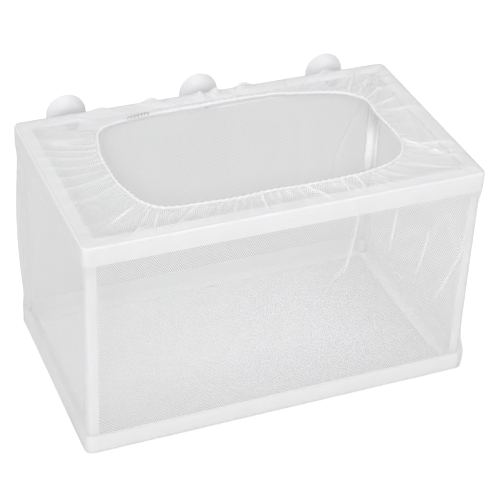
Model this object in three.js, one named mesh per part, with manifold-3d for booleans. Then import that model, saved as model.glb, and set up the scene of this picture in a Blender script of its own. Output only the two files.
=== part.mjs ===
// Net breeding box: a frame of plastic angle strips inside a net bag, with an oval mouth gathered by an
// elastic in the top, hung on the glass of an aquarium by three suction cups.
// Millimetres. +X runs along the box, +Y points to the glass behind it, +Z is up.
// The origin lies under the middle of the whole object, on the surface that it stands on.
import * as THREE from 'three';
import { mergeGeometries, mergeVertices } from 'three/addons/utils/BufferGeometryUtils.js';
import Module from 'manifold-3d';

const wasm = await Module();
wasm.setup();

// Frame
const frameLength = 264;
const frameWidth = 151;
const frameHeight = 156.4;
const cornerRadius = 4; // of the frame's upright corners, in plan
const edgeRadius = 1.1; // of the rails' outer level edges

// Angle strips of the two rings: an upright web outside and a level flange
const webHeight = 13;
const flangeWidth = 9.5;
const railWall = 1.6;
const windowRadius = 1.5; // inside corners of the ring's opening
const cornerReach = 16; // how far a long rail's moulded corner runs round onto the short side

// Tongues of the short rails, inside the corners of the long ones
const tongueReach = 6;
const tongueRoot = 8;
const tongueWall = 1.4;
const tongueLift = 1.2; // from the web's free edge to the tongue's

// Posts: angle strips that stand inside the rings' corners
const postLeg = 6.6;
const postWall = 1.6;

// Pegs of the long rails, which hold the posts' ends against the corners
const pegHeight = 10;
const pegTipHeight = 1.8;
const pegTipTaper = 0.7;
const snapRadius = 1.1;
const snapReach = 0.8; // into the post's leg

// Net bag
const netThickness = 0.6;
const strandWidth = 2;
const longPanelColumns = 13;
const shortPanelColumns = 7;
const sideRows = 3;
const floorColumns = 8;
const floorRows = 4;
const smallestGap = 4; // square millimetres, below which a clipped gap is left closed

// Mouth: a superellipse, set off the middle as the net was pulled
const mouthEndMargin = 36.8; // from the frame's outer faces to a mouth in the middle
const mouthSideMargin = 18.9;
const mouthPower = 3.9;
const mouthShiftX = 3.2;
const mouthShiftY = 2.4;

// Skirt between the top ring's outer edge and the mouth
const skirtLongSteps = 27;
const skirtShortSteps = 15;
const skirtCornerSteps = 3;
const skirtShares = [0, 0.3, 0.65, 1]; // from the outer edge to the mouth
const skirtPleats = [0, 0.9, 1.8, 0.9]; // how high the pleats stand there

// Hem casing round the elastic
const elasticRadius = 0.5;
const hemWall = 0.4;
const hemSteps = 64;
const hemOuterPoints = 7;
const elasticSides = 6; // the casing's inside has the same sides, less the one that is open to the skirt

// Rolled seam round the floor
const seamRadius = 0.5;
const seamSides = 6;

// Suction cups
const cupRadius = 13.5;
const cupDepth = 13.5; // from the rail's outer face to the rim
const cupInset = 39; // of the outer cups from the frame's ends
const cupNeckRadius = 2.7;
const cupHeadRadius = 4.3;
const cupHeadLength = 3;
const cupHeadTipRadius = 2.4;
const cupCollarRadius = 4.8;
const cupCollarLength = 1.4;
const cupStemRadius = 3.8;
const cupLipWidth = 1.3;
const cupLipThickness = 1;
const cupHollowDepth = 5.6;
const cupBackShares = [0.75, 0.93]; // of its radius, how wide the curve of its back is drawn out on the way
const cupHollowShares = [0.78, 0.5]; // the same for its hollow
const cupSides = 24;
const cupNames = ['left', 'centre', 'right'];

const fit = 0.3; // clearance between pieces that touch or plug together
const overrun = 2; // how far a cutting or joining solid reaches past what it meets
const cornerSteps = 5; // steps in a quarter circle of the frame
const edgeSteps = 3; // steps in a rounded level edge

// Worked out from the sizes above
const halfLength = frameLength / 2;
const halfWidth = frameWidth / 2;
const frameFloor = netThickness + fit; // the frame stands on the floor net
const frameTop = frameFloor + frameHeight;
const bagOffset = fit + netThickness; // from the frame's face to the bag's outer face
const postInset = railWall + fit; // from the ring's outer face to the post's
const postEdgeRadius = cornerRadius - postInset;
const pegInset = postInset + postWall + fit;
const pegSize = postInset + postLeg - pegInset;
const postFoot = frameFloor + railWall + fit;
const postHead = frameTop - railWall - fit;
const mouthHalfLength = halfLength - mouthEndMargin;
const mouthHalfWidth = halfWidth - mouthSideMargin;
const hemRadius = elasticRadius + fit + hemWall;
const skirtFloor = frameTop + fit;
const hemLevel = skirtFloor + hemRadius - netThickness;
const cupLevel = frameTop - webHeight / 2;
const cupSpacing = halfLength - cupInset;
const frontReach = halfWidth + bagOffset + fit + 2 * seamRadius;
const rearReach = halfWidth + cupDepth;
const depthShift = (frontReach - rearReach) / 2; // brings the middle of the whole depth to the origin

const frameMaterial = new THREE.MeshStandardMaterial({ color: 0xeeeef0, roughness: 0.45, metalness: 0 });
const netMaterial = new THREE.MeshStandardMaterial({ color: 0xf4f4f6, roughness: 0.9, metalness: 0 });
const elasticMaterial = new THREE.MeshStandardMaterial({ color: 0xfafafa, roughness: 0.7, metalness: 0 });
const cupMaterial = new THREE.MeshStandardMaterial({ color: 0xd6d7d9, roughness: 0.2, metalness: 0 });

const part = new THREE.Group();
part.position.y = depthShift;

function addMesh(name, geometry, material) {
  const mesh = new THREE.Mesh(geometry, material);
  mesh.name = name;
  part.add(mesh);
  return mesh;
}

// Solids and meshes

function toSolid(geometry) {
  const bare = geometry.clone();
  bare.deleteAttribute('normal');
  bare.deleteAttribute('uv');
  const merged = mergeVertices(bare);
  const vertProperties = new Float32Array(merged.attributes.position.array);
  const triVerts = new Uint32Array(merged.index.array);
  return new wasm.Manifold(new wasm.Mesh({ numProp: 3, vertProperties, triVerts }));
}

function toGeometry(solid) {
  const mesh = solid.getMesh();
  const geometry = new THREE.BufferGeometry();
  geometry.setAttribute('position', new THREE.BufferAttribute(new Float32Array(mesh.vertProperties), 3));
  geometry.setIndex(new THREE.BufferAttribute(new Uint32Array(mesh.triVerts), 1));
  geometry.computeVertexNormals();
  return geometry;
}

// Joins a row of rings with equal numbers of points. Rings run anticlockwise seen from the last one.
// A closed row has its last ring joined to its first; an open one is capped by fans.
function loft(rings, closed) {
  const count = rings[0].length;
  const positions = rings.flat().flatMap((point) => [point.x, point.y, point.z]);
  const index = [];
  const spans = closed ? rings.length : rings.length - 1;
  for (let ring = 0; ring < spans; ring += 1) {
    const lower = ring * count;
    const upper = ((ring + 1) % rings.length) * count;
    for (let side = 0; side < count; side += 1) {
      const next = (side + 1) % count;
      index.push(lower + side, lower + next, upper + next);
      index.push(lower + side, upper + next, upper + side);
    }
  }
  if (!closed) {
    const last = (rings.length - 1) * count;
    for (let side = 1; side < count - 1; side += 1) {
      index.push(0, side + 1, side);
      index.push(last, last + side, last + side + 1);
    }
  }
  const geometry = new THREE.BufferGeometry();
  geometry.setAttribute('position', new THREE.Float32BufferAttribute(positions, 3));
  geometry.setIndex(index);
  return geometry;
}

function boxBetween(low, high) {
  const size = new THREE.Vector3().subVectors(high, low);
  const geometry = new THREE.BoxGeometry(size.x, size.y, size.z);
  geometry.translate((low.x + high.x) / 2, (low.y + high.y) / 2, (low.z + high.z) / 2);
  return toSolid(geometry);
}

// Points of a rounded rectangle about the origin, anticlockwise from the right end of its front side.
function roundedOutline(length, width, radius, steps) {
  const points = [];
  const centres = [[1, -1], [1, 1], [-1, 1], [-1, -1]];
  centres.forEach(([sideX, sideY], corner) => {
    const centreX = sideX * (length / 2 - radius);
    const centreY = sideY * (width / 2 - radius);
    for (let step = 0; step <= steps; step += 1) {
      const angle = (corner - 1 + step / steps) * Math.PI / 2;
      points.push(new THREE.Vector2(
        centreX + radius * Math.cos(angle),
        centreY + radius * Math.sin(angle),
      ));
    }
  });
  return points;
}

function atHeight(points, height) {
  return points.map((point) => new THREE.Vector3(point.x, point.y, height));
}

function roundedPrism(length, width, radius, low, high) {
  const outline = roundedOutline(length, width, radius, cornerSteps);
  return toSolid(loft([atHeight(outline, low), atHeight(outline, high)], false));
}

// Rings of angle section

// A whole ring with its flange on top, its web's free edge at height zero.
function flangedRing() {
  const rings = [atHeight(roundedOutline(frameLength, frameWidth, cornerRadius, cornerSteps), 0)];
  for (let step = 0; step <= edgeSteps; step += 1) {
    const angle = step / edgeSteps * Math.PI / 2;
    const inset = edgeRadius * (1 - Math.cos(angle));
    const height = webHeight - edgeRadius * (1 - Math.sin(angle));
    const outline = roundedOutline(
      frameLength - 2 * inset,
      frameWidth - 2 * inset,
      cornerRadius - inset,
      cornerSteps,
    );
    rings.push(atHeight(outline, height));
  }
  const pocket = roundedPrism(
    frameLength - 2 * railWall,
    frameWidth - 2 * railWall,
    cornerRadius - railWall,
    -overrun,
    webHeight - railWall,
  );
  const window = roundedPrism(
    frameLength - 2 * flangeWidth,
    frameWidth - 2 * flangeWidth,
    windowRadius,
    -overrun,
    webHeight + overrun,
  );
  return toSolid(loft(rings, false)).subtract(pocket).subtract(window);
}

// The peg in the corner whose sides are sideX and sideY, with a snap on its face towards the web.
function cornerPeg(sideX, sideY) {
  const centreX = sideX * (halfLength - pegInset - pegSize / 2);
  const centreY = sideY * (halfWidth - pegInset - pegSize / 2);
  const root = webHeight - railWall / 2;
  const tip = webHeight - railWall - pegHeight;
  const square = (size, height) => [[-1, -1], [1, -1], [1, 1], [-1, 1]].map(([x, y]) => (
    new THREE.Vector3(centreX + x * size / 2, centreY + y * size / 2, height)
  ));
  const peg = toSolid(loft([
    square(pegSize - 2 * pegTipTaper, tip),
    square(pegSize, tip + pegTipHeight),
    square(pegSize, root),
  ], false));
  const reach = fit + snapReach;
  const snap = new THREE.CylinderGeometry(snapRadius, snapRadius, reach + pegSize / 2, 2 * cornerSteps);
  snap.translate(0, (reach + pegSize / 2) / 2, 0);
  snap.rotateZ(sideY > 0 ? 0 : Math.PI);
  snap.translate(centreX, centreY, tip + pegHeight / 2);
  return peg.add(toSolid(snap));
}

// Section of angle across X and Z for the left side, with its corner at inset from the outer face.
function angleSection(inset, width, low, high, wall) {
  const outer = -halfLength + inset;
  return new THREE.Shape([
    new THREE.Vector2(outer, low),
    new THREE.Vector2(outer + wall, low),
    new THREE.Vector2(outer + wall, high - wall),
    new THREE.Vector2(outer + width, high - wall),
    new THREE.Vector2(outer + width, high),
    new THREE.Vector2(outer, high),
  ]);
}

// Extrudes a section drawn across X and Z from one Y to another.
function alongY(shape, from, to) {
  const geometry = new THREE.ExtrudeGeometry(shape, { depth: to - from, bevelEnabled: false });
  geometry.rotateX(Math.PI / 2);
  geometry.translate(0, to, 0);
  return geometry;
}

// The tongue at the front end of the left rail: a smaller angle inside the long rail's corner, and a root
// that joins it to the left rail's own web and flange.
function tongue() {
  const end = -halfWidth + cornerReach;
  const high = webHeight - railWall - fit;
  const width = flangeWidth - railWall - 2 * fit;
  const reach = alongY(
    angleSection(railWall + fit, width, tongueLift, high, tongueWall),
    end - tongueReach,
    end + fit + tongueRoot,
  );
  const root = alongY(
    angleSection(railWall / 2, width, tongueLift, webHeight - railWall / 2, railWall / 2 + fit + tongueWall),
    end + fit,
    end + fit + tongueRoot,
  );
  return toSolid(reach).add(toSolid(root));
}

function longRail(ring, sideY) {
  const outer = halfWidth + overrun;
  const inner = halfWidth - cornerReach;
  const keep = boxBetween(
    new THREE.Vector3(-halfLength - overrun, sideY > 0 ? inner : -outer, -overrun),
    new THREE.Vector3(halfLength + overrun, sideY > 0 ? outer : -inner, webHeight + overrun),
  );
  return ring.intersect(keep).add(cornerPeg(-1, sideY)).add(cornerPeg(1, sideY));
}

function leftRail(ring) {
  const end = halfWidth - cornerReach - fit;
  const keep = boxBetween(
    new THREE.Vector3(-halfLength - overrun, -end, -overrun),
    new THREE.Vector3(-halfLength + flangeWidth + overrun, end, webHeight + overrun),
  );
  const front = tongue();
  return ring.intersect(keep).add(front).add(front.mirror([0, 1, 0]));
}

// A hole through the rear web for a suction cup's neck.
function neckHole(x) {
  const hole = new THREE.CylinderGeometry(
    cupNeckRadius + fit,
    cupNeckRadius + fit,
    2 * (railWall + overrun),
    cupSides,
  );
  hole.translate(x, halfWidth, webHeight / 2);
  return toSolid(hole);
}

function cupPlaces() {
  return cupNames.map((name, index) => ({ name, x: (index - 1) * cupSpacing }));
}

function addRings() {
  const ring = flangedRing();
  const rails = {
    front: longRail(ring, -1),
    rear: longRail(ring, 1),
    left: leftRail(ring),
    right: leftRail(ring).mirror([1, 0, 0]),
  };
  Object.entries(rails).forEach(([side, rail]) => {
    const drilled = side === 'rear'
      ? cupPlaces().reduce((solid, cup) => solid.subtract(neckHole(cup.x)), rail)
      : rail;
    const upper = drilled.translate([0, 0, frameTop - webHeight]);
    const lower = rail.mirror([0, 0, 1]).translate([0, 0, frameFloor + webHeight]);
    addMesh(`top_rail_${side}`, toGeometry(upper), frameMaterial);
    addMesh(`bottom_rail_${side}`, toGeometry(lower), frameMaterial);
  });
}

// Posts

// Section of a post in plan, in the corner at the origin, its legs along +X and +Y.
function postSection() {
  const shape = new THREE.Shape();
  shape.moveTo(postEdgeRadius, 0);
  shape.lineTo(postLeg, 0);
  shape.lineTo(postLeg, postWall);
  shape.lineTo(postWall, postWall);
  shape.lineTo(postWall, postLeg);
  shape.lineTo(0, postLeg);
  shape.lineTo(0, postEdgeRadius);
  shape.absarc(postEdgeRadius, postEdgeRadius, postEdgeRadius, Math.PI, Math.PI * 3 / 2, false);
  return shape;
}

// The hole in a post's leg that takes a peg's snap, at the given height.
function snapHole(height) {
  const hole = new THREE.CylinderGeometry(
    snapRadius + fit,
    snapRadius + fit,
    2 * (postWall + fit),
    2 * cornerSteps,
  );
  hole.translate(pegInset + pegSize / 2 - postInset, 0, height);
  return toSolid(hole);
}

function addPosts() {
  const geometry = new THREE.ExtrudeGeometry(postSection(), {
    depth: postHead - postFoot,
    bevelEnabled: false,
    curveSegments: cornerSteps,
  });
  geometry.translate(0, 0, postFoot);
  const snapHeight = railWall + pegHeight / 2;
  const post = toSolid(geometry)
    .subtract(snapHole(frameFloor + snapHeight))
    .subtract(snapHole(frameTop - snapHeight))
    .translate([-halfLength + postInset, -halfWidth + postInset, 0]);
  const frontRight = post.mirror([1, 0, 0]);
  addMesh('post_front_left', toGeometry(post), frameMaterial);
  addMesh('post_front_right', toGeometry(frontRight), frameMaterial);
  addMesh('post_rear_left', toGeometry(post.mirror([0, 1, 0])), frameMaterial);
  addMesh('post_rear_right', toGeometry(frontRight.mirror([0, 1, 0])), frameMaterial);
}

// Net panels

// Keeps the part of a convex polygon on one side of a line across one axis. A corner on the line counts
// as outside, so that it isn't kept twice.
function clip(polygon, axis, limit, sign) {
  const kept = [];
  polygon.forEach((point, index) => {
    const next = polygon[(index + 1) % polygon.length];
    const inside = sign * (limit - point[axis]) > 0;
    const nextInside = sign * (limit - next[axis]) > 0;
    if (inside) {
      kept.push(point);
    }
    if (inside !== nextInside) {
      kept.push(point.clone().lerp(next, (limit - point[axis]) / (next[axis] - point[axis])));
    }
  });
  return kept;
}

// The gaps of a diamond net that fills a window about the origin, each clipped to the window.
function netGaps(width, height, columns, rows) {
  const halfPitchX = width / columns / 2;
  const halfPitchY = height / rows / 2;
  const strandShare = strandWidth / 2 * Math.hypot(halfPitchX, halfPitchY) / (halfPitchX * halfPitchY);
  const reachX = halfPitchX * (1 - strandShare);
  const reachY = halfPitchY * (1 - strandShare);
  const gaps = [];
  for (let column = 0; column <= 2 * columns; column += 1) {
    for (let row = column % 2; row <= 2 * rows; row += 2) {
      const x = column * halfPitchX - width / 2;
      const y = row * halfPitchY - height / 2;
      let gap = [
        new THREE.Vector2(x - reachX, y),
        new THREE.Vector2(x, y - reachY),
        new THREE.Vector2(x + reachX, y),
        new THREE.Vector2(x, y + reachY),
      ];
      gap = clip(gap, 'x', width / 2, 1);
      gap = clip(gap, 'x', -width / 2, -1);
      gap = clip(gap, 'y', height / 2, 1);
      gap = clip(gap, 'y', -height / 2, -1);
      if (gap.length > 2 && THREE.ShapeUtils.area(gap) > smallestGap) {
        gaps.push(gap);
      }
    }
  }
  return gaps;
}

// A flat net with its lower face at height zero, and gaps where it spans the open window inside its border.
function flatNet(outline, windowWidth, windowHeight, columns, rows) {
  const plate = toSolid(loft([atHeight(outline, 0), atHeight(outline, netThickness)], false));
  const cutters = netGaps(windowWidth, windowHeight, columns, rows).map((gap) => (
    loft([atHeight(gap, -overrun), atHeight(gap, netThickness + overrun)], false)
  ));
  return plate.subtract(toSolid(mergeGeometries(cutters)));
}

function rectangle(width, height) {
  return [[-1, -1], [1, -1], [1, 1], [-1, 1]].map(([x, y]) => (
    new THREE.Vector2(x * width / 2, y * height / 2)
  ));
}

// An upright panel across X, standing on the floor panel's edge, with its inner face at Y zero.
function uprightPanel(width, windowWidth, columns) {
  const windowHeight = frameHeight - 2 * webHeight;
  return flatNet(rectangle(width, frameHeight), windowWidth, windowHeight, columns, sideRows)
    .rotate([90, 0, 0])
    .translate([0, 0, frameFloor + frameHeight / 2]);
}

// The bag's quarter turn round the front right corner of the frame.
function bagCorner() {
  const inner = cornerRadius + fit;
  const outer = inner + netThickness;
  const shape = new THREE.Shape();
  shape.moveTo(0, -inner);
  shape.lineTo(0, -outer);
  shape.absarc(0, 0, outer, -Math.PI / 2, 0, false);
  shape.lineTo(inner, 0);
  shape.absarc(0, 0, inner, 0, -Math.PI / 2, true);
  const geometry = new THREE.ExtrudeGeometry(shape, {
    depth: frameHeight,
    bevelEnabled: false,
    curveSegments: cornerSteps,
  });
  geometry.translate(halfLength - cornerRadius, -halfWidth + cornerRadius, frameFloor);
  return toSolid(geometry);
}

// The four sides, each a flat panel and a quarter turn round the corner at its end.
function addSidePanels() {
  const openLength = frameLength - 2 * (postInset + postLeg);
  const openWidth = frameWidth - 2 * (postInset + postLeg);
  const flatLength = frameLength - 2 * (cornerRadius + fit);
  const flatWidth = frameWidth - 2 * (cornerRadius + fit);

  const front = uprightPanel(flatLength, openLength, longPanelColumns)
    .translate([0, -halfWidth - fit, 0]);
  addMesh('net_front', toGeometry(front), netMaterial);
  const rear = cupPlaces().reduce(
    (solid, cup) => solid.subtract(neckHole(cup.x).translate([0, 0, cupLevel - webHeight / 2])),
    front.mirror([0, 1, 0]),
  );
  addMesh('net_rear', toGeometry(rear), netMaterial);

  const left = uprightPanel(flatWidth, openWidth, shortPanelColumns)
    .rotate([0, 0, -90])
    .translate([-halfLength - fit, 0, 0]);
  addMesh('net_left', toGeometry(left), netMaterial);
  addMesh('net_right', toGeometry(left.mirror([1, 0, 0])), netMaterial);

  const frontRight = bagCorner();
  const frontLeft = frontRight.mirror([1, 0, 0]);
  addMesh('net_corner_front_left', toGeometry(frontLeft), netMaterial);
  addMesh('net_corner_front_right', toGeometry(frontRight), netMaterial);
  addMesh('net_corner_rear_left', toGeometry(frontLeft.mirror([0, 1, 0])), netMaterial);
  addMesh('net_corner_rear_right', toGeometry(frontRight.mirror([0, 1, 0])), netMaterial);
}

function addFloorPanel() {
  const outline = roundedOutline(
    frameLength + 2 * bagOffset,
    frameWidth + 2 * bagOffset,
    cornerRadius + bagOffset,
    cornerSteps,
  );
  const openLength = frameLength - 2 * flangeWidth;
  const openWidth = frameWidth - 2 * flangeWidth;
  const floor = flatNet(outline, openLength, openWidth, floorColumns, floorRows);
  addMesh('net_floor', toGeometry(floor), netMaterial);
}

// Mouth and skirt

// Where the ray from the mouth's middle in a direction crosses the mouth's curve, widened by grow.
function mouthPoint(directionX, directionY, grow) {
  const acrossX = Math.abs(directionX) / (mouthHalfLength + grow);
  const acrossY = Math.abs(directionY) / (mouthHalfWidth + grow);
  const reach = (acrossX ** mouthPower + acrossY ** mouthPower) ** (-1 / mouthPower);
  return new THREE.Vector2(mouthShiftX + reach * directionX, mouthShiftY + reach * directionY);
}

// The top edge of the bag: straight sides in equal steps and rounded corners.
function skirtEdge() {
  const length = frameLength + 2 * bagOffset;
  const width = frameWidth + 2 * bagOffset;
  const corners = roundedOutline(length, width, cornerRadius + bagOffset, skirtCornerSteps);
  const perCorner = skirtCornerSteps + 1;
  const points = [];
  corners.forEach((point, index) => {
    points.push(point);
    if ((index + 1) % perCorner === 0) {
      const corner = (index + 1) / perCorner - 1;
      const steps = corner % 2 === 0 ? skirtShortSteps : skirtLongSteps;
      const next = corners[(index + 1) % corners.length];
      for (let step = 1; step < steps; step += 1) {
        points.push(point.clone().lerp(next, step / steps));
      }
    }
  });
  return points;
}

// The gathered skirt: pleats run from the outer edge to the mouth and stand highest on the way.
function addSkirt() {
  const edge = skirtEdge();
  const grow = hemRadius + fit;
  const columns = edge.map((outer, index) => {
    const inner = mouthPoint(outer.x - mouthShiftX, outer.y - mouthShiftY, grow);
    const lift = index % 2;
    const lower = skirtShares.map((share, ring) => {
      const point = outer.clone().lerp(inner, share);
      return new THREE.Vector3(point.x, point.y, skirtFloor + lift * skirtPleats[ring]);
    });
    const upper = lower.map((point) => point.clone().setZ(point.z + netThickness)).reverse();
    return [...lower, ...upper];
  });
  addMesh('net_skirt', loft(columns, true), netMaterial);
}

// Sweeps a section, given as distances out from the mouth and up, round the mouth's curve.
function aroundMouth(section, level) {
  const rings = [];
  for (let step = 0; step < hemSteps; step += 1) {
    const angle = step / hemSteps * Math.PI * 2;
    const cosine = Math.cos(angle);
    const sine = Math.sin(angle);
    const x = mouthHalfLength * Math.sign(cosine) * Math.abs(cosine) ** (2 / mouthPower);
    const y = mouthHalfWidth * Math.sign(sine) * Math.abs(sine) ** (2 / mouthPower);
    const outward = new THREE.Vector2(
      Math.sign(x) * Math.abs(x / mouthHalfLength) ** (mouthPower - 1) / mouthHalfLength,
      Math.sign(y) * Math.abs(y / mouthHalfWidth) ** (mouthPower - 1) / mouthHalfWidth,
    ).normalize();
    rings.push(section.map(([out, up]) => new THREE.Vector3(
      mouthShiftX + x + out * outward.x,
      mouthShiftY + y + out * outward.y,
      level + up,
    )));
  }
  return loft(rings.reverse(), true);
}

// Points of an arc about the origin, both ends included.
function arc(radius, from, to, count) {
  return Array.from({ length: count }, (_, step) => {
    const angle = from + (to - from) * step / (count - 1);
    return [radius * Math.cos(angle), radius * Math.sin(angle)];
  });
}

function addMouth() {
  const slotStart = Math.PI / elasticSides;
  const slotEnd = 2 * Math.PI - slotStart;
  const casing = [
    ...arc(hemRadius, slotStart, slotEnd, hemOuterPoints),
    ...arc(hemRadius - hemWall, slotEnd, slotStart, elasticSides),
  ];
  const cord = arc(elasticRadius, slotStart, slotEnd, elasticSides);
  addMesh('mouth_hem', aroundMouth(casing, hemLevel), netMaterial);
  addMesh('mouth_elastic', aroundMouth(cord, hemLevel), elasticMaterial);
}

// The rolled seam outside the foot of the bag, where the floor panel is sewn to the sides, just clear of
// the surface that the box stands on.
function addSeam() {
  const offset = bagOffset + fit + seamRadius;
  const path = roundedOutline(
    frameLength + 2 * offset,
    frameWidth + 2 * offset,
    cornerRadius + offset,
    cornerSteps,
  );
  const bead = arc(seamRadius, 0, 2 * Math.PI * (1 - 1 / seamSides), seamSides);
  const rings = path.map((point, index) => {
    const before = path[(index + path.length - 1) % path.length];
    const after = path[(index + 1) % path.length];
    const outward = new THREE.Vector2(after.y - before.y, before.x - after.x).normalize();
    return bead.map(([out, up]) => new THREE.Vector3(
      point.x + out * outward.x,
      point.y + out * outward.y,
      fit + seamRadius + up,
    ));
  });
  addMesh('bottom_seam', loft(rings.reverse(), true), netMaterial);
}

// Suction cups

// Half section of a cup: radius, and distance behind the rail's outer face.
function cupProfile() {
  const shoulder = bagOffset + fit;
  const stemEnd = shoulder + 2 * cupCollarLength;
  const headFace = -railWall - fit;
  const hollowTop = cupDepth - cupHollowDepth;
  const points = [
    new THREE.Vector2(0, headFace - cupHeadLength),
    new THREE.Vector2(cupHeadTipRadius, headFace - cupHeadLength),
    new THREE.Vector2(cupHeadRadius, headFace - cupHeadLength / 3),
    new THREE.Vector2(cupHeadRadius, headFace),
    new THREE.Vector2(cupNeckRadius, headFace),
    new THREE.Vector2(cupNeckRadius, shoulder),
    new THREE.Vector2(cupCollarRadius, shoulder),
    new THREE.Vector2(cupCollarRadius, shoulder + cupCollarLength),
    new THREE.Vector2(cupStemRadius, shoulder + cupCollarLength),
  ];
  const back = new THREE.CubicBezierCurve(
    new THREE.Vector2(cupStemRadius, stemEnd),
    new THREE.Vector2(cupRadius * cupBackShares[0], stemEnd),
    new THREE.Vector2(cupRadius * cupBackShares[1], hollowTop),
    new THREE.Vector2(cupRadius, cupDepth - cupLipThickness),
  );
  const hollow = new THREE.CubicBezierCurve(
    new THREE.Vector2(cupRadius - cupLipWidth, cupDepth),
    new THREE.Vector2(cupRadius * cupHollowShares[0], hollowTop + cupLipThickness),
    new THREE.Vector2(cupRadius * cupHollowShares[1], hollowTop),
    new THREE.Vector2(0, hollowTop),
  );
  return [
    ...points,
    ...back.getPoints(cornerSteps + 1),
    new THREE.Vector2(cupRadius, cupDepth),
    ...hollow.getPoints(cornerSteps),
  ];
}

function addCups() {
  cupPlaces().forEach((cup) => {
    const geometry = new THREE.LatheGeometry(cupProfile(), cupSides);
    const mesh = addMesh(`suction_cup_${cup.name}`, geometry, cupMaterial);
    mesh.position.set(cup.x, halfWidth, cupLevel);
  });
}

addRings();
addPosts();
addSidePanels();
addFloorPanel();
addSkirt();
addMouth();
addSeam();
addCups();

export default part;
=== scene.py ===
"""Looks of a net breeding box: white moulded strips inside a bag of fine white tulle, gathered by an
elastic round an oval mouth, with three clear suction cups behind the top. Metres, in the model's frame."""

import math

import bmesh
import bpy
import numpy as np
from mathutils import Matrix, Vector


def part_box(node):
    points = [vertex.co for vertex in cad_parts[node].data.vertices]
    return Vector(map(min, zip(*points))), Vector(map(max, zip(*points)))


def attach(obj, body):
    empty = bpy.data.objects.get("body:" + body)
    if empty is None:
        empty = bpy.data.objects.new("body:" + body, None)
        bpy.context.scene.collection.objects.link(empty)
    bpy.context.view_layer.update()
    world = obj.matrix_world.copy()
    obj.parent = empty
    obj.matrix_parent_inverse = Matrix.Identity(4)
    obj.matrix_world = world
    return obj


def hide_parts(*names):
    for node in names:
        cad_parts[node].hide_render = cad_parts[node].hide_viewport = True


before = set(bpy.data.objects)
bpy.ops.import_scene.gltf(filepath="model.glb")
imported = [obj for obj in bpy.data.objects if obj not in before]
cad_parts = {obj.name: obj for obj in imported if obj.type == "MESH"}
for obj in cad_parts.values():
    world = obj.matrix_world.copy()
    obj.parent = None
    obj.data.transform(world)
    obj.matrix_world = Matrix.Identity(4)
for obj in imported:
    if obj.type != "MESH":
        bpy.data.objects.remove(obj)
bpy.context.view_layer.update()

# Camera, fitted to the frame's corners in the photograph
IMAGE_PIXELS = 500
FOCAL_PIXELS = 1632.6
SENSOR_WIDTH = 36.0  # Blender's own unit for a sensor, millimetres
CAMERA_YAW = -23.57  # degrees
CAMERA_ELEVATION = 34.94
CAMERA_ROLL = 2.72
CAMERA_DISTANCE = 1.0809
CAMERA_AIM = Vector((0.00416, -0.00877, 0.07919))

# Light. A lamp's strength is in watts per square metre, and its spread, yaw and elevation are in degrees
SKY_STRENGTH = 0.415
LAMPS = {
    "key": (1.45, 7.0, -23.1, 32.5),
    "overhead": (1.45, 50.0, -23.1, 90.0),
    "front_fill": (0.24, 40.0, 5.0, 14.0),
    "left_fill": (0.5, 40.0, -105.0, 28.0),
    "right_fill": (0.14, 40.0, 70.0, 28.0),
}
FLOOR_COLOR = (0.4, 0.4, 0.4, 1)
FLOOR_GLOW = 0.62  # of a floor lit from below, like a light table
FLOOR_SIZE = 9.0

# Bag
FABRIC_GAP = 0.0005  # from the strips to the cloth over them
TOP_EDGE_RADIUS = 0.0016
CORNER_RADIUS = 0.0045
CORNER_STEPS = 8
OUTLINE_POINTS = 880
OUTLINE_SAMPLES = 4001
FRONT_DENSITY = 1.7  # columns on the front side, against those elsewhere
SIDE_ROWS = 72
EDGE_ROWS = 4
SKIRT_ROWS = 36
FOLD_WIDTH = 0.0013
FOLD_PULL_SHARE = 0.62  # how far the cloth beside a fold is drawn towards its ridge
FOLD_START_SHARE = 0.06  # how far into its rise a fold starts
FOLD_WHITENESS = 0.8
FOLD_ON_STRIP_SHARE = 0.3  # how much of its height a fold keeps over a strip

# Sides of the bag. A curve of random waves is given by its seed and its count
POST_TUCK = 0.0014  # how far the cloth goes in to the posts between the rings
TUCK_OVERLAP = 0.002  # where that starts, inside a ring's edge
TUCK_REACH = 0.012  # and where it is done, outside it
BELLY_POWER = 1.2  # the higher, the more a panel's sag keeps to the middle of its height
PANEL_POWER = 4  # the higher, the closer the sag comes to the panel's ends
LONG_FACING_POWER = 4  # the higher, the sooner a side's shape ends on the corners
SHORT_FACING_POWER = 2
BROAD_WAVES = (11, 34)
BROAD_LEAN = 0.006  # how far round the bag a wave leans over a panel's height
FINE_WAVES = (12, 90)
FINE_LEAN = 0.004
FINE_WAVE_SHARE = 0.6
LONG_WAVE_HEIGHT = 0.0006
RIGHT_BULGE = 0.0006
RIGHT_WAVE_HEIGHT = 0.0005
LEFT_BULGE = 0.0030
LEFT_WAVE_HEIGHT = 0.0007
# Slack at a side's foot: how far it stands out, its way behind the front and width, its level and reach
LEFT_SLACK = (0.0004, 0.030, 0.034, 0.011, 0.015)
RIGHT_SLACK = (0.0034, 0.016, 0.030, 0.010, 0.016)

# Gathered top of the bag
MOUTH_POWER = 3.9
SKIRT_END_SHARE = 0.4  # where it ends on the hem, as a share of the hem's radius
FREE_START_SHARE = 1.8  # of a strip's width, from the edge to where the cloth hangs free
REAR_FACING = (0.5, 0.9)  # how far back a column faces where the rear side begins, and is whole
GATHER_COUNT = 118  # fine gathers round the hem
GATHER_REACH = 0.0050
GATHER_HEIGHT = 0.0007
GATHER_SLIDE = 0.0005
GATHER_WHITENESS = 0.35
GATHER_DRIFT_SHARE = 0.012  # of the way round the mouth
DRIFT_WAVES = (21, 17)
GATHER_UNEVENNESS = 1.3  # radians
GATHER_WAVES = (22, 61)
PLEAT_COUNT = 46  # wider ones that reach the frame
PLEAT_HEIGHT = 0.0012
PLEAT_SLIDE = 0.0015
PLEAT_WHITENESS = 0.45
PLEAT_POWER = 2.2  # the higher, the narrower the crests
PLEAT_UNEVENNESS = 1.1
PLEAT_WAVES = (23, 39)
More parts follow.
